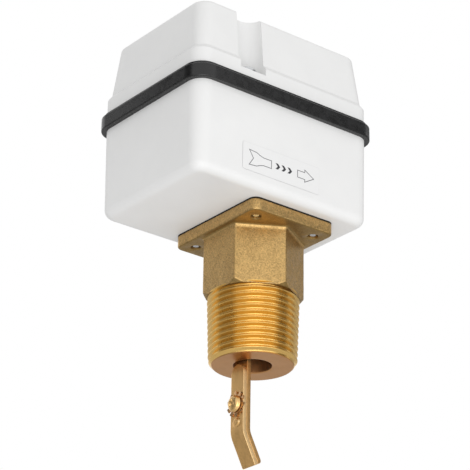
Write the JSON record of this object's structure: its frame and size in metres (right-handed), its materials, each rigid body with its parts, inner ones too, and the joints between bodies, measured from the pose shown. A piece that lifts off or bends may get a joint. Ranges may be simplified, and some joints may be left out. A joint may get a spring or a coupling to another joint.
{
  "type": "paddle flow switch",
  "caption": "Paddle flow switch: white housing with a rubber seal band on a brass taper-thread fitting, bent brass arm and clamp below, bellows, microswitch, range spring and cable gland.",
  "frame": {"origin": "on the pipe axis at the hexagon's lower face, where the taper thread starts", "axes": "+Z along the pipe axis from the thread up to the cover, +X the direction of flow, +Y across the flow towards the cable gland"},
  "size_m": [0.086, 0.0817, 0.1635],
  "materials": {
    "cast_brass": "cast and turned, fine grain",
    "sheet_brass": "rolled strip, satin",
    "brass_screw": "satin",
    "bronze_bellows": "thin formed bronze",
    "white_housing": "fine satin moulding",
    "white_cover": "fine satin moulding",
    "seal_rubber": "satin black",
    "gasket_rubber": "matte black",
    "steel_screw": "zinc plated",
    "steel_sheet": "plated sheet",
    "spring_steel": "drawn wire",
    "black_plastic": "moulded",
    "red_plastic": "moulded",
    "grey_plastic": "moulded nylon"
  },
  "bodies": {
    "housing": {"brass_body": "cast_brass", "flange_gasket": "gasket_rubber", "flange_screws": "steel_screw", "base_housing": "white_housing", "rim_seal": "seal_rubber", "switch_frame": "steel_sheet", "pivot_pin": "steel_screw", "pin_clips": "steel_sheet", "bellows_flange": "sheet_brass", "bellows": "bronze_bellows", "range_spring": "spring_steel", "microswitch": "black_plastic", "switch_terminals": "sheet_brass", "microswitch_screws": "steel_screw", "terminal_block": "black_plastic", "terminal_clamps": "sheet_brass", "block_screws": "steel_screw", "earth_washer": "steel_sheet", "gland_body": "grey_plastic", "gland_locknut": "grey_plastic", "gland_seal": "seal_rubber"},
    "paddle": {"paddle_arm": "sheet_brass", "paddle_clamp": "sheet_brass", "star_washer": "brass_screw", "rocker": "steel_sheet", "arm_rivets": "sheet_brass", "striker": "sheet_brass", "bellows_cap": "sheet_brass"},
    "clamp_screw": {"clamp_screw": "brass_screw"},
    "plunger": {"switch_plunger": "red_plastic"},
    "range_adjuster": {"range_screw": "steel_screw", "range_clip": "steel_sheet"},
    "spring_carrier": {"spring_nut": "sheet_brass"},
    "cover": {"cover": "white_cover"},
    "cover_screw_front": {"cover_screw_front": "steel_screw"},
    "cover_screw_rear": {"cover_screw_rear": "steel_screw"},
    "terminal_screw_1": {"terminal_screw_1": "steel_screw"},
    "terminal_screw_2": {"terminal_screw_2": "steel_screw"},
    "terminal_screw_3": {"terminal_screw_3": "steel_screw"},
    "earth_screw": {"earth_screw": "brass_screw"},
    "gland_nut": {"gland_nut": "grey_plastic"}
  },
  "joints": [
    {"name": "paddle_swing", "type": "hinge", "parent": "housing", "child": "paddle", "pos_m": [0, 0, 0.0368], "axis": [0, -1, 0], "range_deg": [0, 8.2], "stiffness_Nm_per_rad": 0.06, "springref_deg": -85.94, "deforming": ["range_spring", "bellows"]},
    {"name": "plunger_push", "type": "slide", "parent": "housing", "child": "plunger", "axis": [-1, 0, 0], "range_m": [0, 0.0015]},
    {"name": "range_screw_turn", "type": "hinge", "parent": "housing", "child": "range_adjuster", "pos_m": [0.011, 0, 0.0578], "axis": [0, 0, 1], "range_deg": [0, 1442]},
    {"name": "spring_nut_travel", "type": "slide", "parent": "housing", "child": "spring_carrier", "axis": [0, 0, 1], "range_m": [0, 0.0028]},
    {"name": "cover_lift", "type": "slide", "parent": "housing", "child": "cover", "axis": [0, 0, 1], "range_m": [0, 0.06]},
    {"name": "cover_screw_front_turn", "type": "hinge", "parent": "cover", "child": "cover_screw_front", "pos_m": [-0.0255, -0.0266, 0.0728], "axis": [0, 0, 1], "continuous": true},
    {"name": "cover_screw_rear_turn", "type": "hinge", "parent": "cover", "child": "cover_screw_rear", "pos_m": [0.0067, 0.0266, 0.0728], "axis": [0, 0, 1], "continuous": true},
    {"name": "clamp_screw_turn", "type": "hinge", "parent": "paddle", "child": "clamp_screw", "pos_m": [-0.006, 0, -0.0423], "axis": [-1, 0, 0], "continuous": true},
    {"name": "gland_nut_turn", "type": "hinge", "parent": "housing", "child": "gland_nut", "pos_m": [-0.02, 0.04, 0.0498], "axis": [0, 1, 0], "continuous": true},
    {"name": "earth_screw_turn", "type": "hinge", "parent": "housing", "child": "earth_screw", "pos_m": [0, -0.0175, 0.0348], "axis": [0, 0, 1], "continuous": true},
    {"name": "terminal_screw_1_turn", "type": "hinge", "parent": "housing", "child": "terminal_screw_1", "pos_m": [-0.04, -0.009, 0.0408], "axis": [0, 0, 1], "continuous": true},
    {"name": "terminal_screw_2_turn", "type": "hinge", "parent": "housing", "child": "terminal_screw_2", "pos_m": [-0.04, 0, 0.0408], "axis": [0, 0, 1], "continuous": true},
    {"name": "terminal_screw_3_turn", "type": "hinge", "parent": "housing", "child": "terminal_screw_3", "pos_m": [-0.04, 0.009, 0.0408], "axis": [0, 0, 1], "continuous": true}
  ],
  "couplings": [
    {"joint": "plunger_push", "follows": "paddle_swing", "m_per_rad": 0.01},
    {"joint": "range_screw_turn", "follows": "spring_nut_travel", "rad_per_m": 8976}
  ]
}
